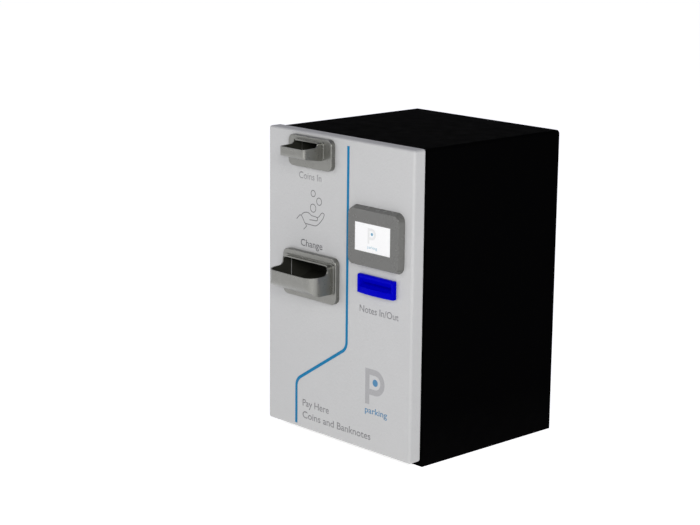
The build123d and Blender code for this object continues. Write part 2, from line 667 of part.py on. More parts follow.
with BuildPart() as motor_pulley:
    rod((132, note_motor_y, note_motor_z), 152, 1.5, "x")
    rod((151.5, note_motor_y, note_motor_z), 158.5, motor_pulley_r, "x")
motor_pulley.part.label = "motor_pulley"
export_step(motor_pulley.part, "parts/motor_pulley.step")


def belt_circles(extra):
    """The three pulley circles that the belt wraps, each larger by `extra`."""
    with Locations((front_roller_y, feed_roller_z), (rear_roller_y, feed_roller_z)):
        Circle(roller_pulley_r + extra)
    with Locations((note_motor_y, note_motor_z)):
        Circle(motor_pulley_r + extra)


with BuildPart() as note_belt:
    with BuildSketch(Plane.YZ.offset(152.5)) as belt_outside:
        belt_circles(1.6)
        make_hull()
    extrude(belt_outside.sketch, amount=5)
    with BuildSketch(Plane.YZ.offset(152)) as belt_inside:
        belt_circles(0.3)
        make_hull()
    extrude(belt_inside.sketch, amount=6, mode=Mode.SUBTRACT)
note_belt.part.label = "note_belt"
export_step(note_belt.part, "parts/note_belt.step")

# ---------------------------------------------------------------- cash boxes

# raised tray, so that the boxes slide out over the front frame's sill
tray_x = (coin_box_x[0] - 2.5, note_box_x[1] + 2.5)
tray_y = (cashbox_y[0] - 4, cashbox_y[1] + 4)
with BuildPart() as cashbox_tray:
    block(tray_x, tray_y, (cashbox_tray_top - 2, cashbox_tray_top))
    for foot_y in (tray_y[0], tray_y[1] - 2):
        block(tray_x, (foot_y, foot_y + 2), (base_thickness, cashbox_tray_top))
cashbox_tray.part.label = "cashbox_tray"
export_step(cashbox_tray.part, "parts/cashbox_tray.step")

# two guide rails beside each box, and a stop bar behind both
with BuildPart() as cashbox_guides:
    guide_z = (cashbox_tray_top, cashbox_tray_top + 20)
    for box_x in (coin_box_x, note_box_x):
        for guide_low in (box_x[0] - 2.5, box_x[1] + 0.5):
            block((guide_low, guide_low + 2), (tray_y[0], tray_y[1] - 2.5), guide_z)
    block(tray_x, (tray_y[1] - 2, tray_y[1]), guide_z)
cashbox_guides.part.label = "cashbox_guides"
export_step(cashbox_guides.part, "parts/cashbox_guides.step")

with BuildPart() as note_cashbox:
    block(note_box_x, cashbox_y, (cashbox_bottom, note_box_top))
    fillet(note_cashbox.edges().filter_by(Axis.Z), radius=3)
    block((note_box_x[0] + 2, note_box_x[1] - 2), (cashbox_y[0] + 2, cashbox_y[1] - 2),
          (cashbox_bottom + 2, note_box_top - 2), Mode.SUBTRACT)
    block((note_drop_x[0] + 2, note_drop_x[1] - 2), (note_drop_y[0] + 4, note_drop_y[1] - 4),
          (note_box_top - 3, note_box_top + 1), Mode.SUBTRACT)
    rod((note_centre[0], cashbox_y[0] - 1, 205), cashbox_y[0] + 3, 5, "y", Mode.SUBTRACT)
note_cashbox.part.label = "note_cashbox"
export_step(note_cashbox.part, "parts/note_cashbox.step")

with BuildPart() as coin_cashbox:
    block(coin_box_x, cashbox_y, (cashbox_bottom, coin_box_top))
    fillet(coin_cashbox.edges().filter_by(Axis.Z), radius=3)
    block((coin_box_x[0] + 2, coin_box_x[1] - 2), (cashbox_y[0] + 2, cashbox_y[1] - 2),
          (cashbox_bottom + 2, coin_box_top + 1), Mode.SUBTRACT)
coin_cashbox.part.label = "coin_cashbox"
export_step(coin_cashbox.part, "parts/coin_cashbox.step")


def pull_handle(centre_x, centre_z):
    """Bent rod handle on the front face of a cash box."""
    half_width = 32.0
    reach = 24.0
    face_y = cashbox_y[0]
    with BuildPart() as handle:
        with BuildLine() as handle_path:
            FilletPolyline((centre_x - half_width, face_y, centre_z),
                           (centre_x - half_width, face_y - reach, centre_z),
                           (centre_x + half_width, face_y - reach, centre_z),
                           (centre_x + half_width, face_y, centre_z), radius=9)
        with BuildSketch(Plane(origin=(centre_x - half_width, face_y, centre_z), z_dir=(0, -1, 0))):
            Circle(3)
        sweep(path=handle_path.line)
    return handle


note_box_handle = pull_handle((note_box_x[0] + note_box_x[1]) / 2, 150)
note_box_handle.part.label = "note_box_handle"
export_step(note_box_handle.part, "parts/note_box_handle.step")

coin_box_handle = pull_handle((coin_box_x[0] + coin_box_x[1]) / 2, 100)
coin_box_handle.part.label = "coin_box_handle"
export_step(coin_box_handle.part, "parts/coin_box_handle.step")

# ---------------------------------------------------------------- door

tray_screws = [(cup_centre_x + dx, tray_centre_z + dz) for dx in (-50.0, 50.0) for dz in (-21.0, 21.0)]
cup_screws = [(cup_centre_x + dx, change_centre_z + dz) for dx in (-65.0, 65.0) for dz in (-36.0, 36.0)]
display_screws = [(display_centre[0] + dx, display_centre[1] + dz)
                  for dx in (-57.0, 57.0) for dz in (-44.0, 44.0)]
device_screws = tray_screws + cup_screws + display_screws

chute_span_x = (-103.0, -40.0)
throat_span_x = (-131.5, -11.5)
display_hole = ((62.0, 159.0), (401.0, 462.0))
note_hole = ((65.0, 155.4), (331.0, 347.0))
back_land = 12.0
back_open_x = door_width / 2 - 14
back_open_z = (door_bottom + 14, door_top - 14)

with BuildPart() as door_panel:
    block((-door_width / 2, door_width / 2), (door_front_y, door_back_y), (door_bottom, door_top))
    fillet(door_panel.edges(), radius=door_edge_r)
    block((-door_width / 2 + door_skin, door_width / 2 - door_skin),
          (door_front_y + door_skin, door_back_y - door_back_flange),
          (door_bottom + door_skin, door_top - door_skin), Mode.SUBTRACT)
    block((-back_open_x, back_open_x), (door_back_y - backplate_thickness, door_back_y + 1),
          back_open_z, Mode.SUBTRACT)
    block((-back_open_x + back_land, back_open_x - back_land), (door_back_y - 6, door_back_y + 1),
          (back_open_z[0] + back_land, back_open_z[1] - back_land), Mode.SUBTRACT)
    skin_y = (door_front_y - 1, door_front_y + door_skin + 1)
    block((chute_span_x[0] - 0.5, chute_span_x[1] + 0.5), skin_y, (550, 591), Mode.SUBTRACT)
    block((throat_span_x[0] - 0.5, throat_span_x[1] + 0.5), skin_y, (303, 360), Mode.SUBTRACT)
    block(display_hole[0], skin_y, display_hole[1], Mode.SUBTRACT)
    block(note_hole[0], skin_y, note_hole[1], Mode.SUBTRACT)
    for screw_x, screw_z in device_screws:
        rod((screw_x, skin_y[0], screw_z), skin_y[1], 2.2, "y", Mode.SUBTRACT)
    land_screws = [(x, z) for x in (-180.0, 180.0) for z in (50.0, 200.0, 400.0, 570.0)]
    for screw_x, screw_z in land_screws:
        rod((screw_x, door_back_y - 7, screw_z), door_back_y + 1, 1.5, "y", Mode.SUBTRACT)
door_panel.part.label = "door_panel"
export_step(door_panel.part, "parts/door_panel.step")

plate_y = (door_back_y - backplate_thickness, door_back_y)
with BuildPart() as door_backplate:
    block((-back_open_x + 0.3, back_open_x - 0.3), plate_y,
          (back_open_z[0] + 0.3, back_open_z[1] - 0.3))
    cut_y = (plate_y[0] - 1, plate_y[1] + 1)
    block((chute_span_x[0] - 0.5, chute_span_x[1] + 0.5), cut_y, (540, 580), Mode.SUBTRACT)
    block((throat_span_x[0] - 0.5, throat_span_x[1] + 0.5), cut_y, (311, 360), Mode.SUBTRACT)
    block(note_hole[0], cut_y, note_hole[1], Mode.SUBTRACT)
    block((92, 128), cut_y, (400, 412), Mode.SUBTRACT)
    for screw_x, screw_z in land_screws:
        rod((screw_x, cut_y[0], screw_z), cut_y[1], 1.7, "y", Mode.SUBTRACT)
door_backplate.part.label = "door_backplate"
export_step(door_backplate.part, "parts/door_backplate.step")

# eight screws hold the backplate, and the others the tray, the cup and the display from inside
with BuildPart() as door_screws:
    for screw_x, screw_z in land_screws:
        rod((screw_x, door_back_y - 5, screw_z), door_back_y, 1.45, "y")
        rod((screw_x, door_back_y, screw_z), door_back_y + 1.4, 3, "y")
    for screw_x, screw_z in device_screws:
        rod((screw_x, out(5), screw_z), door_front_y + door_skin, 1.95, "y")
        rod((screw_x, door_front_y + door_skin, screw_z), door_front_y + door_skin + 2.6, 3.8, "y")
door_screws.part.label = "door_screws"
export_step(door_screws.part, "parts/door_screws.step")

# coloured stripe: down the middle, across on a slant, and down to the bottom edge
stripe_width = 6.0
stripe_thickness = 0.4
stripe_right_x = 26.5
stripe_left_x = -116.5
stripe_top_z = 591.5
stripe_bend_z = 201.5
stripe_lower_bend_z = 110.2
stripe_bottom_z = 21.5
with BuildPart() as blue_stripe:
    with BuildSketch(Plane.XZ.offset(-door_front_y)) as stripe_sketch:
        with BuildLine() as stripe_line:
            FilletPolyline((stripe_right_x, stripe_top_z), (stripe_right_x, stripe_bend_z),
                           (stripe_left_x, stripe_lower_bend_z), (stripe_left_x, stripe_bottom_z),
                           radius=24)
        trace(stripe_line.line, line_width=stripe_width)
    extrude(stripe_sketch.sketch, amount=stripe_thickness)
blue_stripe.part.label = "blue_stripe"
export_step(blue_stripe.part, "parts/blue_stripe.step")

# ---------------------------------------------------------------- coin tray and change cup


def scoop(width, outline, front_r, corner_r, hood_r, sweep_r=None):
    """A scoop-shaped solid centred on the cups' line, from (reach, height) points.

    The first two points are the underside from back to front, and the last two the hood's top.
    front_r rounds the underside up into the front, corner_r the plan's front corners and hood_r the
    hood's two ends. sweep_r rounds the fourth point, where the rim turns up into the hood."""
    span_x = (cup_centre_x - width / 2, cup_centre_x + width / 2)
    heights = [height for reach, height in outline]
    turn_reach, turn_z = outline[3]
    with BuildPart() as plan:
        block(span_x, (out(outline[1][0]), out(-5)), (min(heights) - 1, max(heights) + 1))
        fillet(plan.edges().filter_by(Axis.Z).group_by(Axis.Y)[0], radius=corner_r)
    with BuildPart() as solid:
        side_plate([(out(reach), height) for reach, height in outline], span_x)
        front_edges = solid.edges().filter_by(Axis.X).group_by(Axis.Y)[0]
        fillet(front_edges.sort_by(Axis.Z)[0], radius=front_r)
        if sweep_r:
            turn = [edge for edge in solid.edges().filter_by(Axis.X)
                    if abs(edge.center().Y - out(turn_reach)) < 0.01
                    and abs(edge.center().Z - turn_z) < 0.01]
            fillet(turn, radius=sweep_r)
        add(plan.part, mode=Mode.INTERSECT)
        hood_ends = [edge for edge in solid.edges().filter_by(Axis.Y)
                     if abs(edge.center().Z - outline[-1][1]) < 0.01]
        fillet(hood_ends, radius=hood_r)
    return solid.part


def flange(width, height, corner_r, centre_z, screws):
    """The mounting flange of a cup, with its front edge rounded and blind screw holes."""
    with BuildPart() as plate:
        with BuildSketch(front_plane(cup_centre_x, centre_z)):
            RectangleRounded(width, height, corner_r)
        extrude(amount=device_flange_thickness)
        fillet(plate.faces().sort_by(Axis.Y)[0].edges(), radius=1.5)
        for screw_x, screw_z in screws:
            rod((screw_x, out(-1), screw_z), out(6), 2.0, "y", Mode.SUBTRACT)
    return plate.part


def boss(width, bottom, top):
    """Low raised pad on the flange, round the root of a scoop."""
    with BuildPart() as pad:
        with BuildSketch(front_plane(cup_centre_x, (bottom + top) / 2, device_flange_thickness - 1)):
            RectangleRounded(width, top - bottom, 7)
        extrude(amount=boss_height + 1)
        fillet(pad.faces().sort_by(Axis.Y)[0].edges(), radius=0.8)
    return pad.part


tray_outside = scoop(tray_width, [(8, 555.6), (57, 563), (57, 581), (hood_reach, 582.5),
                                  (hood_reach, 591.5), (8, 591.5)], 8, 8, 5, 6.5)
tray_inside = scoop(tray_width - 5, [(-1, 556.8), (54.5, 565.2), (54.5, 620), (19, 620),
                                     (19, 589), (-1, 589)], 5.5, 5.5, 4)
tray_flange = flange(121.5, 60, 12, tray_centre_z, tray_screws)
tray_boss = boss(tray_width + 2 * boss_margin, 557, 593)
with BuildPart() as coin_tray:
    add(tray_outside)
    add(tray_flange)
    add(tray_boss)
    add(tray_inside, mode=Mode.SUBTRACT)
coin_tray.part.label = "coin_tray"
export_step(coin_tray.part, "parts/coin_tray.step")

cup_outside = scoop(change_width, [(8, 303.3), (64, 303.3), (64, 339.5), (hood_reach, 341.5),
                                   (hood_reach, 360.5), (8, 360.5)], 25, 24, 9, 9)
cup_inside = scoop(change_width - 5, [(-1, 305.8), (61.5, 305.8), (61.5, 400), (19, 400),
                                      (19, 358), (-1, 358)], 22.5, 21.5, 7)
cup_flange = flange(151.6, 90.2, 14, change_centre_z, cup_screws)
cup_boss = boss(change_width + 2 * boss_margin, 301.5, 362.5)
with BuildPart() as change_cup:
    add(cup_outside)
    add(cup_flange)
    add(cup_boss)
    add(cup_inside, mode=Mode.SUBTRACT)
change_cup.part.label = "change_cup"
export_step(change_cup.part, "parts/change_cup.step")

# sheet duct that takes the coins through the door, falling towards the coin funnel
duct_wall = 1.5
with BuildPart() as coin_chute:
    side_plate([(door_front_y, 553), (-190, 541.5), (-160, 531), (-160, 562), (-190, 575),
                (-196, 577.5), (door_front_y, 590)], chute_span_x)
    side_plate([(door_front_y - 1, 555), (-190, 543), (-159, 532.2), (-159, 560), (-190, 573.5),
                (-196.5, 576), (door_front_y - 1, 588.5)],
               (chute_span_x[0] + duct_wall, chute_span_x[1] - duct_wall), Mode.SUBTRACT)
coin_chute.part.label = "coin_chute"
export_step(coin_chute.part, "parts/coin_chute.step")

# sheet duct that brings the change through the door; behind the door it is an open trough
with BuildPart() as change_throat:
    side_plate([(door_front_y, 304), (-163, 321), (-163, 340), (door_back_y + 1, 340),
                (door_back_y + 1, 359.5), (door_front_y, 359.5)], throat_span_x)
    side_plate([(door_front_y - 1, 305.2), (-164.5, 322.6), (-164.5, 341), (door_back_y - 0.5, 341),
                (door_back_y - 0.5, 358), (door_front_y - 1, 358)],
               (throat_span_x[0] + duct_wall, throat_span_x[1] - duct_wall), Mode.SUBTRACT)
    block((throat_span_x[0] + duct_wall, throat_span_x[1] - duct_wall), (door_back_y - 2, -164.5),
          (339, 358), Mode.SUBTRACT)
change_throat.part.label = "change_throat"
export_step(change_throat.part, "parts/change_throat.step")

# ---------------------------------------------------------------- display

module_half = (54.0, 33.5)
screen_recess = 0.8
module_front = display_reach - screen_recess - 1.1
module_rear = module_front - 4.9
with BuildPart() as display_frame:
    with BuildSketch(front_plane(*display_centre)):
        RectangleRounded(display_size[0] + 2 * display_draft, display_size[1] + 2 * display_draft, 17)
    with BuildSketch(front_plane(*display_centre, display_reach)):
        RectangleRounded(*display_size, 12.5)
    loft()
    fillet(display_frame.faces().sort_by(Axis.Y)[0].edges(), radius=1.5)
    block(screen_span_x, (out(display_reach + 1), out(0)), screen_span_z, Mode.SUBTRACT)
    block((screen_centre[0] - module_half[0], screen_centre[0] + module_half[0]),
          (out(display_reach - screen_recess), out(-1)),
          (screen_centre[1] - module_half[1], screen_centre[1] + module_half[1]), Mode.SUBTRACT)
    for screw_x, screw_z in display_screws:
        rod((screw_x, out(-1), screw_z), out(6), 2.0, "y", Mode.SUBTRACT)
display_frame.part.label = "display_frame"
export_step(display_frame.part, "parts/display_frame.step")

glass_half = (module_half[0] - 0.3, module_half[1] - 0.3)
with BuildPart() as display_glass:
    block((screen_centre[0] - glass_half[0], screen_centre[0] + glass_half[0]),
          (out(display_reach - screen_recess), out(module_front)),
          (screen_centre[1] - glass_half[1], screen_centre[1] + glass_half[1]))
display_glass.part.label = "display_glass"
export_step(display_glass.part, "parts/display_glass.step")

with BuildPart() as display_module:
    block((screen_centre[0] - glass_half[0], screen_centre[0] + glass_half[0]),
          (out(module_front), out(module_rear)),
          (screen_centre[1] - glass_half[1], screen_centre[1] + glass_half[1]))
display_module.part.label = "display_module"
export_step(display_module.part, "parts/display_module.step")

with BuildPart() as display_board:
    block((66, 146), (out(3.4), out(1.8)), (403, 456))
    block((76, 100), (out(1.8), out(-4)), (410, 422))
    block((114, 136), (out(1.8), out(-2)), (434, 450))
    for post_x in (69.0, 143.0):
        for post_z in (406.0, 453.0):
            rod((post_x, out(module_rear), post_z), out(3.4), 2.5, "y")
display_board.part.label = "display_board"
export_step(display_board.part, "parts/display_board.step")

# ---------------------------------------------------------------- note bezel

bezel_x = (note_centre[0] - note_bezel_size[0] / 2, note_centre[0] + note_bezel_size[0] / 2)
bezel_z = (note_centre[1] - note_bezel_size[1] / 2, note_centre[1] + note_bezel_size[1] / 2)
slot_x = (note_centre[0] - note_slot[0] / 2, note_centre[0] + note_slot[0] / 2)
with BuildPart() as note_bezel:
    block(bezel_x, (out(note_bezel_reach), out(0)), bezel_z)
    with BuildSketch(Plane.XY.offset(bezel_z[0])):
        with BuildLine():
            Line((bezel_x[0], out(note_bezel_reach)), (bezel_x[1], out(note_bezel_reach)))
            ThreePointArc((bezel_x[0], out(note_bezel_reach)),
                          (note_centre[0], out(note_bezel_reach + 4.5)),
                          (bezel_x[1], out(note_bezel_reach)))
        make_face()
    extrude(amount=12)
    fillet(note_bezel.faces().sort_by(Axis.Z)[-1].edges().sort_by(Axis.Y)[0], radius=3.8)
    side_plate([(out(note_bezel_reach + 6), note_centre[1] + 11),
                (out(note_bezel_reach + 6), note_centre[1] - 5.5),
                (out(note_bezel_reach - 1), note_centre[1] - 5.5),
                (out(1), note_centre[1] - note_slot[1] / 2),
                (out(1), note_centre[1] + note_slot[1] / 2),
                (out(note_bezel_reach - 1), note_centre[1] + 11)],
               slot_x, Mode.SUBTRACT)
    block((slot_x[0] - 2, slot_x[1] + 2), (out(0), -154),
          (note_centre[1] - note_slot[1] / 2 - 2, note_centre[1] + note_slot[1] / 2 + 2))
    block(slot_x, (out(3), -153), (note_centre[1] - note_slot[1] / 2, note_centre[1] + note_slot[1] / 2),
          Mode.SUBTRACT)
note_bezel.part.label = "note_bezel"
export_step(note_bezel.part, "parts/note_bezel.step")

# ---------------------------------------------------------------- latch on the door

with BuildPart() as latch_bracket:
    block((-153, -134), (door_back_y, door_back_y + 2), (312, 332))
    block((-153, -151), (door_back_y, -141.5), (312, 332))
    block((-159, -151), (-143.5, -141.5), (312, 332))
    fillet(latch_bracket.edges().filter_by(Axis.Z).sort_by(Axis.Y)[-1], radius=1)
latch_bracket.part.label = "latch_bracket"
export_step(latch_bracket.part, "parts/latch_bracket.step")
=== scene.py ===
import bmesh
import bpy
import json
import math
from mathutils import Matrix, Vector


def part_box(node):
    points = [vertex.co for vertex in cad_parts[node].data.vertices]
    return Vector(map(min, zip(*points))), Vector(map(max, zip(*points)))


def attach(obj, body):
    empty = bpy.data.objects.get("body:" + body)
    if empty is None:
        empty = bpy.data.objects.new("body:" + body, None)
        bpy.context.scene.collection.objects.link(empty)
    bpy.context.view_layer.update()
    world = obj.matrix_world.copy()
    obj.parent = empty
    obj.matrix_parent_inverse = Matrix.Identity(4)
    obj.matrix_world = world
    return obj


# Looks of a compact parking pay station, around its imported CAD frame.
# Everything is in metres in the row frame: +X right, front towards -Y, +Z up.

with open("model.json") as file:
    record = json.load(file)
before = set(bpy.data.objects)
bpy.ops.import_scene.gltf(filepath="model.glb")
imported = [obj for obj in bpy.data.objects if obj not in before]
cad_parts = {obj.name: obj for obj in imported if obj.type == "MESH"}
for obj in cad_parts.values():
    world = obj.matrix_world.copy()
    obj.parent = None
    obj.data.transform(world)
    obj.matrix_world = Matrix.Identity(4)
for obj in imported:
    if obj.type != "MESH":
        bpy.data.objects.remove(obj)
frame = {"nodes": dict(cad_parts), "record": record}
bpy.context.view_layer.update()
nodes = frame["nodes"]
scene = bpy.context.scene
MM = 0.001

# ---------------------------------------------------------------- places taken from the frame

door_face_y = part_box("door_panel")[0].y
cup_low, cup_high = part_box("change_cup")
cup_centre_x = (cup_low.x + cup_high.x) / 2
glass_low, glass_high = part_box("display_glass")

# ---------------------------------------------------------------- camera, light and floor

camera_angles = {"azimuth": 46.754, "elevation": 12.722, "roll": 0.58}
camera_place = (2.5517, door_face_y - 2.3684, 1.1514)
camera_lens = 96.94


def make_camera():
    azimuth, elevation, roll = (math.radians(angle) for angle in camera_angles.values())
    back = Vector((math.sin(azimuth) * math.cos(elevation),
                   -math.cos(azimuth) * math.cos(elevation), math.sin(elevation)))
    level_right = (-back).cross(Vector((0, 0, 1))).normalized()
    level_up = level_right.cross(-back)
    right = level_right * math.cos(roll) + level_up * math.sin(roll)
    up = level_up * math.cos(roll) - level_right * math.sin(roll)
    data = bpy.data.cameras.new("camera")
    data.sensor_width = 36.0
    data.lens = camera_lens
    data.clip_end = 60.0
    camera = bpy.data.objects.new("camera", data)
    place = Matrix((right, up, back)).transposed().to_4x4()
    place.translation = camera_place
    camera.matrix_world = place
    scene.collection.objects.link(camera)
    scene.camera = camera


def area_light(name, position, target, size, power):
    """A soft rectangular light that points at the target."""
    data = bpy.data.lights.new(name, "AREA")
    data.shape = "RECTANGLE"
    data.size, data.size_y = size
    data.energy = power
    light = bpy.data.objects.new(name, data)
    light.location = position
    light.rotation_mode = "QUATERNION"
    light.rotation_quaternion = (Vector(target) - Vector(position)).to_track_quat("-Z", "Y")
    scene.collection.objects.link(light)


def make_world():
    """Soft studio surround: pale at the horizon and a little darker and cooler overhead."""
    world = bpy.data.worlds.new("studio")
    world.use_nodes = True
    tree = world.node_tree
    place = tree.nodes.new("ShaderNodeTexCoord")
    parts = tree.nodes.new("ShaderNodeSeparateXYZ")
    ramp = tree.nodes.new("ShaderNodeValToRGB")
    horizon, zenith = ramp.color_ramp.elements
    horizon.position, zenith.position = 0.0, 0.8
    horizon.color = (0.60, 0.60, 0.60, 1)
    zenith.color = (0.24, 0.24, 0.31, 1)
    tree.links.new(place.outputs["Generated"], parts.inputs[0])
    tree.links.new(parts.outputs["Z"], ramp.inputs["Fac"])
    tree.links.new(ramp.outputs["Color"], tree.nodes["Background"].inputs["Color"])
    scene.world = world


floor_radius = 30.0
floor_glow = 0.72


def make_floor():
    """A plain pale floor, lit a little from itself so that it stays white far from the lights."""
    mesh = bpy.data.meshes.new("floor")
    ring = bmesh.new()
    bmesh.ops.create_circle(ring, cap_ends=True, segments=96, radius=floor_radius)
    ring.to_mesh(mesh)
    ring.free()
    floor = bpy.data.objects.new("floor", mesh)
    scene.collection.objects.link(floor)
    floor_look = bpy.data.materials.new("studio_floor")
    floor_look.use_nodes = True
    shader = floor_look.node_tree.nodes["Principled BSDF"]
    shader.inputs["Base Color"].default_value = (0.86, 0.86, 0.86, 1)
    shader.inputs["Roughness"].default_value = 0.9
    shader.inputs["Specular IOR Level"].default_value = 0.1
    shader.inputs["Emission Color"].default_value = (1, 1, 1, 1)
    shader.inputs["Emission Strength"].default_value = floor_glow
    mesh.materials.append(floor_look)


make_camera()
make_world()
make_floor()
light_target = (0, -0.05, 0.32)
softbox_size = (1.3, 1.3)
area_light("key", (-1.9, -3.0, 1.7), light_target, softbox_size, 28)
area_light("side", (2.6, -2.2, 1.6), light_target, softbox_size, 80)
scene.view_settings.view_transform = "Standard"


# ---------------------------------------------------------------- materials

class Look:
    """A material with a Principled shader, and procedural detail laid out in the row frame."""

    def __init__(self, name, colour, roughness, metallic=0.0, **sockets):
        self.material = bpy.data.materials.new(name)
        self.material.use_nodes = True
        self.tree = self.material.node_tree
        self.shader = self.tree.nodes["Principled BSDF"]
        self.colour = (*colour, 1)
        self.shader.inputs["Base Color"].default_value = self.colour
        self.shader.inputs["Roughness"].default_value = roughness
        self.shader.inputs["Metallic"].default_value = metallic
        for socket, value in sockets.items():
            self.shader.inputs[socket.replace("_", " ")].default_value = value
        self.place = self.tree.nodes.new("ShaderNodeTexCoord").outputs["Object"]

    def link(self, start, end):
        self.tree.links.new(start, end)

    def noise(self, scale, detail=3.0, stretch=(1, 1, 1), shift=0.0):
        """Noise between 0 and 1, with `scale` features per metre."""
        mapping = self.tree.nodes.new("ShaderNodeMapping")
        mapping.inputs["Scale"].default_value = stretch
        mapping.inputs["Location"].default_value = (shift, shift, shift)
        texture = self.tree.nodes.new("ShaderNodeTexNoise")
        texture.inputs["Scale"].default_value = scale
        texture.inputs["Detail"].default_value = detail
        self.link(self.place, mapping.inputs["Vector"])
        self.link(mapping.outputs["Vector"], texture.inputs["Vector"])
        return texture.outputs["Fac"]

    def cells(self, scale, feature="F1"):
        """Distance to the nearest cell point, with `scale` cells per metre."""
        texture = self.tree.nodes.new("ShaderNodeTexVoronoi")
        texture.feature = feature
        texture.inputs["Scale"].default_value = scale
        self.link(self.place, texture.inputs["Vector"])
        return texture.outputs["Distance"]

    def spread(self, value, low, high, out_low=0.0, out_high=1.0):
        """The value between low and high, mapped to the output range and clamped."""
        mapped = self.tree.nodes.new("ShaderNodeMapRange")
        for socket, number in (("From Min", low), ("From Max", high), ("To Min", out_low),
                               ("To Max", out_high)):
            mapped.inputs[socket].default_value = number
        self.link(value, mapped.inputs["Value"])
        return mapped.outputs["Result"]

    def along(self, axis):
        parts = self.tree.nodes.new("ShaderNodeSeparateXYZ")
        self.link(self.place, parts.inputs[0])
        return parts.outputs[axis]

    def maths(self, operation, first, second):
        node = self.tree.nodes.new("ShaderNodeMath")
        node.operation = operation
        for socket, value in zip(node.inputs, (first, second)):
            if isinstance(value, (int, float)):
                socket.default_value = value
            else:
                self.link(value, socket)
        return node.outputs[0]

    def tint(self, mask, colour):
        """Mixes towards a colour where the mask is high. Calls stack."""
        mix = self.tree.nodes.new("ShaderNodeMix")
        mix.data_type = "RGBA"
        base = self.shader.inputs["Base Color"]
        if base.is_linked:
            self.link(base.links[0].from_socket, mix.inputs["A"])
        else:
            mix.inputs["A"].default_value = self.colour
        mix.inputs["B"].default_value = (*colour, 1)
        self.link(mask, mix.inputs["Factor"])
        self.link(mix.outputs["Result"], base)

    def mottle(self, scale, amount, detail=4.0, shift=0.0):
        """Uneven colour: darker by `amount` in the dark patches of a noise."""
        mask = self.spread(self.noise(scale, detail, shift=shift), 0.35, 0.68)
        self.tint(mask, tuple(channel * (1 - amount) for channel in self.colour[:3]))

    def uneven_gloss(self, scale, low, high, stretch=(1, 1, 1)):
        self.link(self.spread(self.noise(scale, 5.0, stretch), 0.3, 0.7, low, high),
                  self.shader.inputs["Roughness"])

    def bump(self, height, distance, strength=1.0):
        """Adds relief of the given depth in metres. Calls stack."""
        bump = self.tree.nodes.new("ShaderNodeBump")
        bump.inputs["Strength"].default_value = strength
        bump.inputs["Distance"].default_value = distance
        self.link(height, bump.inputs["Height"])
        normal = self.shader.inputs["Normal"]
        if normal.is_linked:
            self.link(normal.links[0].from_socket, bump.inputs["Normal"])
        self.link(bump.outputs["Normal"], normal)


def powder_coat(name, colour, roughness, specular, peel, grain):
    """Baked powder paint: a slow orange peel with a finer grain on it."""
    look = Look(name, colour, roughness, Specular_IOR_Level=specular)
    look.mottle(9, 0.03)
    look.mottle(420, 0.035, shift=3.0)
    look.uneven_gloss(35, roughness - 0.05, roughness + 0.06)
    look.bump(look.noise(170, 2.0), peel)
    look.bump(look.noise(1300, 2.0), grain)
    return look


def cabinet_coat():
    look = powder_coat("cabinet_powder_coat", (0.0008, 0.0008, 0.0009), 0.6, 0.0014,
                       peel=0.00014, grain=0.00006)
    # a trace of dust low on the walls
    dust = look.maths("MULTIPLY", look.spread(look.along("Z"), 0.10, 0.0), look.noise(60, 5.0))
    look.tint(look.maths("MULTIPLY", dust, 0.25), (0.006, 0.0058, 0.0055))
    return look.material


def door_coat():
    look = powder_coat("door_powder_coat", (0.38, 0.38, 0.374), 0.42, 0.50,
                       peel=0.00055, grain=0.00004)
    # light scuffs under the cup, where hands reach in
    near_cup = look.maths("MULTIPLY", look.spread(look.along("Z"), 0.24, 0.285),
                          look.spread(look.noise(55, 6.0, (1, 1, 0.35), 7.0), 0.56, 0.72))
    look.tint(look.maths("MULTIPLY", near_cup, 0.05), (0.42, 0.42, 0.42))
    # grime towards the bottom edge
    grime = look.maths("MULTIPLY", look.spread(look.along("Z"), 0.060, 0.0135),
                       look.noise(45, 6.0, (1, 1, 0.4)))
    look.tint(look.maths("MULTIPLY", grime, 0.16), (0.40, 0.39, 0.37))
    return look.material


def satin_film():
    look = Look("stripe_film", (0.003, 0.135, 0.275), 0.42, Specular_IOR_Level=0.08)
    look.mottle(130, 0.07)
    look.bump(look.noise(700, 2.0), 0.00002)
    return look.material


def cast_metal():
    """Satin cast metal of the tray and the cup."""
    look = Look("cup_cast_metal", (0.218, 0.218, 0.200), 0.30, 0.9, Specular_IOR_Level=0.4)
    look.mottle(60, 0.10)
    look.mottle(900, 0.06, shift=5.0)
    look.uneven_gloss(140, 0.26, 0.38, (1, 1, 3))
    look.bump(look.noise(650, 2.0), 0.000015)
    return look.material


def painted_shade_lining():
    """Near-black look for the hollows of the tray and the cup: painted shade, standing in for the
    shade inside them, with lighter scratches worn by coins.
    """
    look = Look("cup_painted_shade_inside", (0.030, 0.030, 0.024), 0.42, 0.2, Specular_IOR_Level=0.2)
    scratches = look.spread(look.noise(420, 4.0, (1, 0.12, 1)), 0.58, 0.72)
    look.tint(look.maths("MULTIPLY", scratches, 0.35), (0.06, 0.06, 0.052))
    look.uneven_gloss(90, 0.34, 0.55)
    look.bump(look.noise(900, 3.0), 0.00003)
    return look.material


def moulded(name, colour, roughness, grain=0.00005, specular=0.4):
    """Moulded plastic with a fine spark-eroded texture."""
    look = Look(name, colour, roughness, Specular_IOR_Level=specular)
    look.mottle(22, 0.05)
    look.mottle(1100, 0.05, shift=2.0)
    look.uneven_gloss(80, roughness - 0.05, roughness + 0.07)
    look.bump(look.noise(2300, 2.0), grain)
    look.bump(look.cells(1500), grain * 0.5)
    return look.material


def blue_plastic_painted_glow():
    # Painted light: the blue emission makes the bezel glow evenly and flattens its shading; no lamp
    # sits behind it.
    look = Look("bezel_blue_painted_glow", (0.0004, 0.0004, 0.24), 0.30, Specular_IOR_Level=0.012,
                Emission_Color=(0.0, 0.0, 1.0, 1), Emission_Strength=0.19)
    look.mottle(70, 0.10)
    look.uneven_gloss(110, 0.2, 0.32)
    look.bump(look.noise(500, 2.0), 0.00002)
    return look.material


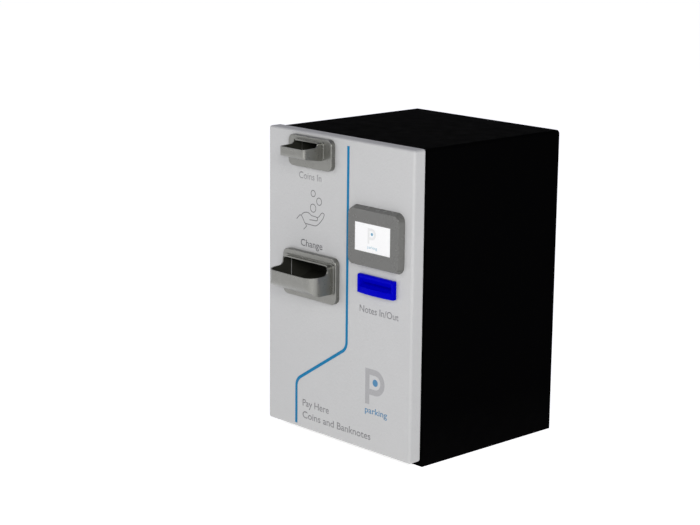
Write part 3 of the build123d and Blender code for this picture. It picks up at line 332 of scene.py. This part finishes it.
def clear_glass():
    look = Look("touch_glass", (1, 1, 1), 0.03, Transmission_Weight=1.0, IOR=1.45,
                Specular_IOR_Level=0.35)
    smears = look.spread(look.noise(38, 5.0, (1, 1, 0.6)), 0.5, 0.75, 0.015, 0.07)
    look.link(smears, look.shader.inputs["Roughness"])
    return look.material


def zinc():
    """Zinc-plated sheet with soft spangle and rolling marks."""
    look = Look("zinc_sheet", (0.50, 0.51, 0.52), 0.38, 1.0)
    spangle = look.spread(look.cells(95), 0.0, 0.9)
    look.tint(look.maths("MULTIPLY", spangle, 0.6), (0.36, 0.37, 0.385))
    look.mottle(30, 0.12)
    look.uneven_gloss(160, 0.28, 0.50, (1, 1, 0.15))
    look.bump(look.noise(420, 3.0, (0.2, 1, 1)), 0.00003)
    return look.material


def bright_steel(name, colour, roughness):
    look = Look(name, colour, roughness, 1.0)
    look.mottle(180, 0.12)
    look.uneven_gloss(300, roughness - 0.08, roughness + 0.10)
    look.bump(look.noise(1500, 2.0, (1, 0.3, 1)), 0.00002)
    return look.material


def turned_steel(name, colour):
    """Drawn steel can, with fine lines round its axis."""
    look = Look(name, colour, 0.34, 1.0)
    look.mottle(60, 0.15)
    look.uneven_gloss(500, 0.26, 0.46, (1, 0.1, 1))
    look.bump(look.noise(900, 2.0, (0.1, 1, 1)), 0.00003)
    return look.material


def rubber(name):
    look = Look(name, (0.018, 0.018, 0.018), 0.72, Specular_IOR_Level=0.3)
    look.mottle(140, 0.25)
    look.uneven_gloss(200, 0.62, 0.82)
    look.bump(look.noise(1100, 4.0), 0.00006)
    return look.material


def board_laminate():
    """Solder mask over fine copper tracks."""
    look = Look("board_solder_mask", (0.008, 0.085, 0.030), 0.34, Coat_Weight=0.3,
                Coat_Roughness=0.15)
    tracks = look.spread(look.noise(300, 0.0, (1, 0.15, 1)), 0.52, 0.55)
    look.tint(look.maths("MULTIPLY", tracks, 0.55), (0.02, 0.17, 0.06))
    pads = look.spread(look.cells(210), 0.22, 0.16)
    look.tint(look.maths("MULTIPLY", pads, 0.8), (0.55, 0.50, 0.38))
    look.bump(tracks, 0.00003)
    return look.material


def box_paint():
    look = powder_coat("cash_box_paint", (0.075, 0.08, 0.088), 0.46, 0.35,
                       peel=0.00014, grain=0.00005)
    # paint rubbed pale by handling
    rub = look.spread(look.noise(70, 6.0, (1, 0.3, 1), 4.0), 0.62, 0.70)
    look.tint(look.maths("MULTIPLY", rub, 0.5), (0.22, 0.22, 0.22))
    return look.material


looks = {
    "cabinet_black": cabinet_coat(),
    "door_grey": door_coat(),
    "stripe_blue": satin_film(),
    "cup_metal": cast_metal(),
    "display_grey": moulded("display_housing", (0.090, 0.090, 0.083), 0.24, 0.000008, 0.5),
    "bezel_blue": blue_plastic_painted_glow(),
    "screen_glass": clear_glass(),
    "screen_panel": moulded("display_module_case", (0.05, 0.05, 0.055), 0.45),
    "board_green": board_laminate(),
    "zinc_steel": zinc(),
    "fastener_steel": bright_steel("bright_screws", (0.55, 0.55, 0.56), 0.30),
    "lock_chrome": bright_steel("nickel_lock", (0.66, 0.65, 0.63), 0.16),
    "seal_rubber": rubber("seal_rubber_foam"),
    "inlet_black": moulded("inlet_moulding", (0.014, 0.014, 0.014), 0.42),
    "supply_metal": bright_steel("supply_case", (0.46, 0.47, 0.48), 0.40),
    "unit_plastic": moulded("unit_moulding", (0.045, 0.046, 0.05), 0.50),
    "disc_plastic": moulded("acetal", (0.62, 0.61, 0.56), 0.36, 0.00002),
    "motor_steel": turned_steel("motor_can", (0.34, 0.34, 0.35)),
    "belt_rubber": rubber("belt_rubber_ribbed"),
    "box_steel": box_paint(),
    "handle_steel": bright_steel("handle_rod", (0.60, 0.60, 0.60), 0.18),
}
painted_shade_look = painted_shade_lining()
shaft_steel = bright_steel("ground_shaft", (0.58, 0.58, 0.59), 0.22)
roller_rubber = rubber("roller_rubber")
nylon = moulded("white_nylon", (0.68, 0.67, 0.62), 0.42, 0.00002)
chip_black = moulded("chip_epoxy", (0.012, 0.012, 0.013), 0.5, 0.00003)
can_metal = bright_steel("capacitor_can", (0.30, 0.32, 0.42), 0.3)
terminal_black = moulded("terminal_block", (0.02, 0.02, 0.02), 0.5)

for row in frame["record"]["subparts"]:
    mesh = nodes[row["node"]].data
    mesh.materials.clear()
    mesh.materials.append(looks[row["material_slot"]])


def paint(node, material, rule):
    """Gives a second material to the faces of a CAD node that a rule picks by centre and normal."""
    mesh = nodes[node].data
    mesh.materials.append(material)
    index = len(mesh.materials) - 1
    for face in mesh.polygons:
        if rule(face.center, face.normal):
            face.material_index = index


faces_front = -0.9  # a normal's Y below this looks straight out of the door


def inside_scoop(node, width, ceiling, middle_reach, middle_z):
    """Picks the faces that look at the middle of a scoop's hollow."""
    middle_point = Vector((cup_centre_x, door_face_y - middle_reach, middle_z))
    wall = 1.9 * MM
    front_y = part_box(node)[0].y

    def rule(centre, normal):
        within = (abs(centre.x - cup_centre_x) < width / 2 - wall and centre.z < ceiling
                  and centre.y > front_y + wall)
        return within and normal.y > faces_front and normal.dot(middle_point - centre) > 0

    return rule


def inside_duct(node):
    """Picks the faces that look at the middle of a node's box, and its end behind the door."""
    low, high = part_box(node)
    middle_point = (low + high) / 2
    return lambda centre, normal: (normal.dot(middle_point - centre) > 0
                                   or normal.y < faces_front)


tray_width = 70 * MM
cup_width = 130 * MM
# Painted shade: the faces inside the tray and the cup get the near-black lining, which stands in
# for the shade in their hollows.
paint("coin_tray", painted_shade_look, inside_scoop("coin_tray", tray_width, ceiling=589.2 * MM,
                                            middle_reach=30 * MM, middle_z=574 * MM))
paint("change_cup", painted_shade_look, inside_scoop("change_cup", cup_width, ceiling=358.2 * MM,
                                             middle_reach=34 * MM, middle_z=331 * MM))
# Painted shade also inside the ducts behind them, and on their front ends.
for duct in ("change_throat", "coin_chute"):
    paint(duct, painted_shade_look, inside_duct(duct))


def from_middle_line(node, axis):
    """A function for how far a point lies from a node's middle line along the axis."""
    low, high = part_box(node)
    middle_point = (low + high) / 2

    def distance(point):
        gap = point - middle_point
        setattr(gap, axis, 0)
        return gap.length

    return distance


feed_shaft_r = 3.1 * MM
roller_tyres_length = 75 * MM
for roller in ("front_feed_roller", "rear_feed_roller"):
    off_shaft = from_middle_line(roller, "x")
    tyres_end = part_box(roller)[0].x + roller_tyres_length
    paint(roller, shaft_steel, lambda centre, normal: off_shaft(centre) <= feed_shaft_r)
    paint(roller, roller_rubber,
          lambda centre, normal: off_shaft(centre) > feed_shaft_r and centre.x < tyres_end)

hub_shaft_r = 4.1 * MM
hub_back_y = -66.5 * MM
off_hub = from_middle_line("hopper_disc", "y")
paint("hopper_disc", shaft_steel,
      lambda centre, normal: centre.y > hub_back_y and off_hub(centre) < hub_shaft_r)

board_low, board_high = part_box("control_board")
laminate_depth = 1.7 * MM  # the bare board's thickness, with a little to spare
laminate_face_x = board_high.x - laminate_depth
chip_thickness = 4 * MM
connector_row_height = 15 * MM
chips_from_height = 50 * MM
cans_from_height = 110 * MM
cans_y = -20 * MM
terminals_y = 55 * MM
terminals_from_z = 520 * MM


def on_board(rule):
    """Limits a rule on a face's centre to what stands on the laminate."""
    return lambda centre, normal: centre.x < laminate_face_x and rule(centre)


paint("control_board", nylon, on_board(lambda at: at.z < board_low.z + connector_row_height))
paint("control_board", chip_black,
      on_board(lambda at: at.z > board_low.z + chips_from_height and at.y < terminals_y
               and at.x > laminate_face_x - chip_thickness))
paint("control_board", can_metal,
      on_board(lambda at: at.z > board_low.z + cans_from_height and at.y < cans_y))
paint("control_board", terminal_black,
      on_board(lambda at: at.y > terminals_y and at.z > terminals_from_z))

supply_low, supply_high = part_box("power_supply")
supply_side_x = 70.5 * MM
strip_front_margin = 1 * MM
strip_back_margin = 20 * MM
terminal_strip_y = (supply_low.y + strip_front_margin, supply_high.y - strip_back_margin)
terminal_strip_z = (50.5 * MM, 145.5 * MM)
paint("power_supply", terminal_black,
      lambda centre, normal: centre.x > supply_side_x
      and terminal_strip_y[0] < centre.y < terminal_strip_y[1]
      and terminal_strip_z[0] < centre.z < terminal_strip_z[1])


# ---------------------------------------------------------------- flat printing on the door

def to_front(x, z, lift):
    """A point `lift` in front of the door's face."""
    return Vector((x, door_face_y - lift, z))


def new_piece(name, bm, material, body="door"):
    mesh = bpy.data.meshes.new(name)
    bmesh.ops.remove_doubles(bm, verts=bm.verts, dist=1e-6)
    bmesh.ops.recalc_face_normals(bm, faces=bm.faces)
    bm.to_mesh(mesh)
    bm.free()
    mesh.materials.append(material)
    piece = bpy.data.objects.new(name, mesh)
    scene.collection.objects.link(piece)
    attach(piece, body)


def thicken(bm, faces, depth):
    """Turns flat faces into closed plates that reach `depth` back towards +Y."""
    made = bmesh.ops.extrude_face_region(bm, geom=faces)
    moved = [item for item in made["geom"] if isinstance(item, bmesh.types.BMVert)]
    bmesh.ops.translate(bm, verts=moved, vec=(0, depth, 0))


def bend_through(points, steps=10):
    """A smooth line through the points (Catmull-Rom)."""
    line = []
    padded = [points[0], *points, points[-1]]
    for before, start, end, after in zip(padded, padded[1:], padded[2:], padded[3:]):
        for step in range(steps):
            t = step / steps
            line.append(tuple(
                0.5 * (2 * s + (e - b) * t + (2 * b - 5 * s + 4 * e - a) * t ** 2
                       + (3 * s - b - 3 * e + a) * t ** 3)
                for b, s, e, a in zip(before, start, end, after)))
    line.append(points[-1])
    return line


def ring_line(centre, radius, steps=40):
    return [(centre[0] + radius * math.cos(2 * math.pi * k / steps),
             centre[1] + radius * math.sin(2 * math.pi * k / steps)) for k in range(steps)]


def ribbon(bm, line, width, lift, depth, closed=False, round_ends=True):
    """A flat stroke of even width along an (x, z) line, as a closed plate."""
    lowest_cosine = 0.5  # keeps the outer corner of a sharp bend short
    count = len(line)
    left, right = [], []
    for k, (x, z) in enumerate(line):
        before = line[k - 1] if (k > 0 or closed) else line[k]
        after = line[(k + 1) % count] if (k < count - 1 or closed) else line[k]
        step_in = Vector((x - before[0], z - before[1]))
        step_out = Vector((after[0] - x, after[1] - z))
        heading = (step_in.normalized() + step_out.normalized()).normalized()
        side = Vector((-heading.y, heading.x))
        onward = (step_out if step_out.length else step_in).normalized()
        reach = width / 2 / max(lowest_cosine, heading.dot(onward))
        left.append(bm.verts.new(to_front(x + side.x * reach, z + side.y * reach, lift)))
        right.append(bm.verts.new(to_front(x - side.x * reach, z - side.y * reach, lift)))
    faces = [bm.faces.new((left[k], left[(k + 1) % count], right[(k + 1) % count], right[k]))
             for k in range(count if closed else count - 1)]
    if round_ends and not closed:
        for end, other, left_v, right_v in ((0, 1, left[0], right[0]),
                                            (-1, -2, left[-1], right[-1])):
            away = Vector((line[end][0] - line[other][0], line[end][1] - line[other][1]))
            away.normalize()
            start = math.atan2(away.y, away.x)
            arc = [bm.verts.new(to_front(line[end][0] + math.cos(start + turn) * width / 2,
                                         line[end][1] + math.sin(start + turn) * width / 2, lift))
                   for turn in (-math.pi / 4, 0, math.pi / 4)]
            edge = (left_v, right_v) if end == 0 else (right_v, left_v)
            faces.append(bm.faces.new((edge[0], *reversed(arc), edge[1])
                                      if end == 0 else (edge[0], *arc, edge[1])))
    thicken(bm, faces, depth)


def disc(bm, centre, radius, lift, depth):
    face = bm.faces.new([bm.verts.new(to_front(x, z, lift)) for x, z in ring_line(centre, radius)])
    thicken(bm, [face], depth)


def plate(bm, x, z, lift, depth):
    corners = ((x[0], z[0]), (x[1], z[0]), (x[1], z[1]), (x[0], z[1]))
    face = bm.faces.new([bm.verts.new(to_front(cx, cz, lift)) for cx, cz in corners])
    thicken(bm, [face], depth)


font_cap_height = 0.729  # height of a capital in the built-in font, which has a size of 1
font_weight = 0.008


def lettering(name, words, x, z_base, cap_height, material, lift, depth):
    """Flat plain words from x[0] to x[1], standing on z_base."""
    curve = bpy.data.curves.new(name, "FONT")
    curve.body = words
    curve.offset = font_weight
    curve.resolution_u = 4
    source = bpy.data.objects.new(name + "_outline", curve)
    scene.collection.objects.link(source)
    depsgraph = bpy.context.evaluated_depsgraph_get()
    flat = bpy.data.meshes.new_from_object(source.evaluated_get(depsgraph))
    bpy.data.objects.remove(source)
    bm = bmesh.new()
    bm.from_mesh(flat)
    bpy.data.meshes.remove(flat)
    bmesh.ops.remove_doubles(bm, verts=bm.verts, dist=1e-5)
    low_x = min(v.co.x for v in bm.verts)
    high_x = max(v.co.x for v in bm.verts)
    for v in bm.verts:
        v.co = to_front(x[0] + (v.co.x - low_x) * (x[1] - x[0]) / (high_x - low_x),
                        z_base + v.co.y * cap_height / font_cap_height, lift)
    thicken(bm, list(bm.faces), depth)
    new_piece(name, bm, material)


ink_lift = 0.05 * MM
ink_depth = 0.10 * MM


def ink(name, colour):
    look = Look(name, colour, 0.5, Specular_IOR_Level=0.3)
    look.mottle(500, 0.08)
    look.bump(look.noise(900, 2.0), 0.00002)
    return look.material


ink_grey = ink("label_ink", (0.24, 0.24, 0.24))
ink_dark = ink("label_ink_dark", (0.14, 0.14, 0.143))
ink_line = ink("pictogram_ink", (0.115, 0.115, 0.115))
mark_grey = ink("mark_ink_grey", (0.28, 0.28, 0.28))
mark_blue = ink("mark_ink_blue", (0.045, 0.165, 0.29))
ink_middle = ink("label_ink_middle", (0.18, 0.18, 0.18))

# name, words, left and right X, base line Z and height of the capitals in mm, and ink
labels = [
    ("label_coins_in", "Coins In", (-111.5, -47.5), 513.2, 13.4, ink_grey),
    ("label_change", "Change", (-105.5, -43.5), 381.8, 13.8, ink_dark),
    ("label_notes", "Notes In/Out", (61.5, 165.5), 282.4, 13.6, ink_middle),
    ("label_pay_here", "Pay Here", (-98, -22), 60.5, 14.5, ink_middle),
    ("label_coins_and_notes", "Coins and Banknotes", (-98, 95), 36.0, 14.5, ink_middle),
]
for label_name, words, (left_x, right_x), base_z, cap_height, label_ink in labels:
    lettering(label_name, words, (left_x * MM, right_x * MM), base_z * MM, cap_height * MM,
              label_ink, ink_lift, ink_depth)


def coins_and_hand():
    """Pictogram of three coins falling into an open hand, in mm from its centre."""
    bm = bmesh.new()
    line_width = 1.6 * MM
    centre = (-73.2 * MM, 456.4 * MM)
    coins = ((2.5, 31.5, 6.1), (19.5, 18.0, 7.0), (2.5, 3.0, 7.8))  # x, z and radius
    for dx, dz, radius in coins:
        ring = ring_line((centre[0] + dx * MM, centre[1] + dz * MM), radius * MM)
        ribbon(bm, ring, line_width, ink_lift, ink_depth, closed=True)
    palm = bend_through([(-31, -16), (-26.5, -11), (-18.5, -8), (-10.5, -8), (-1.5, -12),
                         (7.5, -12.5), (14.5, -14), (15.5, -16.5), (13, -20), (2, -20.5),
                         (-7, -21)])
    fingers = bend_through([(14.5, -14), (20, -10.5), (25.5, -4.5), (29.5, -2.5), (34, -4.5),
                            (33, -8.5), (30, -14), (22, -22.5), (15, -28), (9, -30.5),
                            (-1.5, -30.5), (-19, -30)])
    back_of_hand = bend_through([(-31, -16), (-25.5, -22.5), (-22, -28), (-19, -30)])
    cuff_top = [(-31, -16), (-35.5, -15.5), (-44, -24)]
    cuff_bottom = [(-19, -30), (-16, -35), (-24, -42)]
    for stroke_points in (palm, fingers, back_of_hand, cuff_top, cuff_bottom):
        line = [(centre[0] + x * MM, centre[1] + z * MM) for x, z in stroke_points]
        ribbon(bm, line, line_width, ink_lift, ink_depth)
    new_piece("pictogram_coins_and_hand", bm, ink_line)


def parking_mark(name, centre, scale, lift, depth, grey, blue):
    """A plain letter P for parking, with a coin in its bowl. Its sizes are in the mark's units."""
    stroke_width = 11.5
    stem_x = (-25, -13.5)
    stem_z = (-30, 40)
    bowl_centre = (2, 14.75)
    bowl_r = 19.5
    coin_r = 7.0
    arc_steps = 20

    def at(x, z):
        return centre[0] + x * scale, centre[1] + z * scale

    bm = bmesh.new()
    low_corner, high_corner = at(stem_x[0], stem_z[0]), at(stem_x[1], stem_z[1])
    plate(bm, (low_corner[0], high_corner[0]), (low_corner[1], high_corner[1]), lift, depth)
    bowl = [at(stem_x[1], bowl_centre[1] + bowl_r)]
    for step in range(arc_steps + 1):
        angle = math.pi / 2 - math.pi * step / arc_steps
        bowl.append(at(bowl_centre[0] + bowl_r * math.cos(angle),
                       bowl_centre[1] + bowl_r * math.sin(angle)))
    bowl.append(at(stem_x[1], bowl_centre[1] - bowl_r))
    ribbon(bm, bowl, stroke_width * scale, lift, depth, round_ends=False)
    new_piece(name + "_letter", bm, grey)
    coin = bmesh.new()
    disc(coin, at(*bowl_centre), coin_r * scale, lift, depth)
    new_piece(name + "_coin", coin, blue)


coins_and_hand()
door_mark_centre = (104 * MM, 136 * MM)
parking_mark("door_mark", door_mark_centre, MM, ink_lift, ink_depth, mark_grey, mark_blue)
door_caption_x = (79 * MM, 139 * MM)
door_caption_base_z = 88.5 * MM
door_caption_height = 12.5 * MM
lettering("label_parking", "parking", door_caption_x, door_caption_base_z, door_caption_height,
          mark_blue, ink_lift, ink_depth)

# ---------------------------------------------------------------- lit screen page

screen_albedo = 0.15
screen_glow = 0.8


def lit(name, colour):
    """A glowing colour of the screen's page."""
    look = Look(name, tuple(c * screen_albedo for c in colour), 0.4, Emission_Color=(*colour, 1),
                Emission_Strength=screen_glow)
    look.mottle(2600, 0.1)
    return look.material


screen_centre = ((glass_low.x + glass_high.x) / 2, (glass_low.z + glass_high.z) / 2)
glass_back_lift = door_face_y - glass_high.y
page_from_glass_back = 0.12 * MM
page_lift = glass_back_lift + page_from_glass_back
page_depth = 0.1 * MM
page_half = (50.0 * MM, 29.5 * MM)
page = bmesh.new()
plate(page, (screen_centre[0] - page_half[0], screen_centre[0] + page_half[0]),
      (screen_centre[1] - page_half[1], screen_centre[1] + page_half[1]), page_lift, page_depth)
new_piece("screen_page", page, lit("screen_white", (0.955, 0.955, 0.96)))
element_from_page = 0.06 * MM
element_lift = page_lift + element_from_page
element_depth = 0.05 * MM
screen_grey = lit("screen_pale_grey", (0.80, 0.80, 0.80))
screen_blue = lit("screen_blue", (0.05, 0.30, 0.50))
screen_pale_blue = lit("screen_pale_blue", (0.30, 0.50, 0.62))
screen_mark_centre = (screen_centre[0] - 3 * MM, screen_centre[1] + 2.0 * MM)
screen_mark_scale = 0.42 * MM
parking_mark("screen_mark", screen_mark_centre, screen_mark_scale, element_lift, element_depth,
             screen_grey, screen_blue)
screen_caption_x = (screen_centre[0] - 14 * MM, screen_centre[0] + 12 * MM)
screen_caption_base_z = screen_centre[1] - 19.5 * MM
screen_caption_height = 5.6 * MM
lettering("screen_caption", "parking", screen_caption_x, screen_caption_base_z,
          screen_caption_height, screen_pale_blue, element_lift, element_depth)
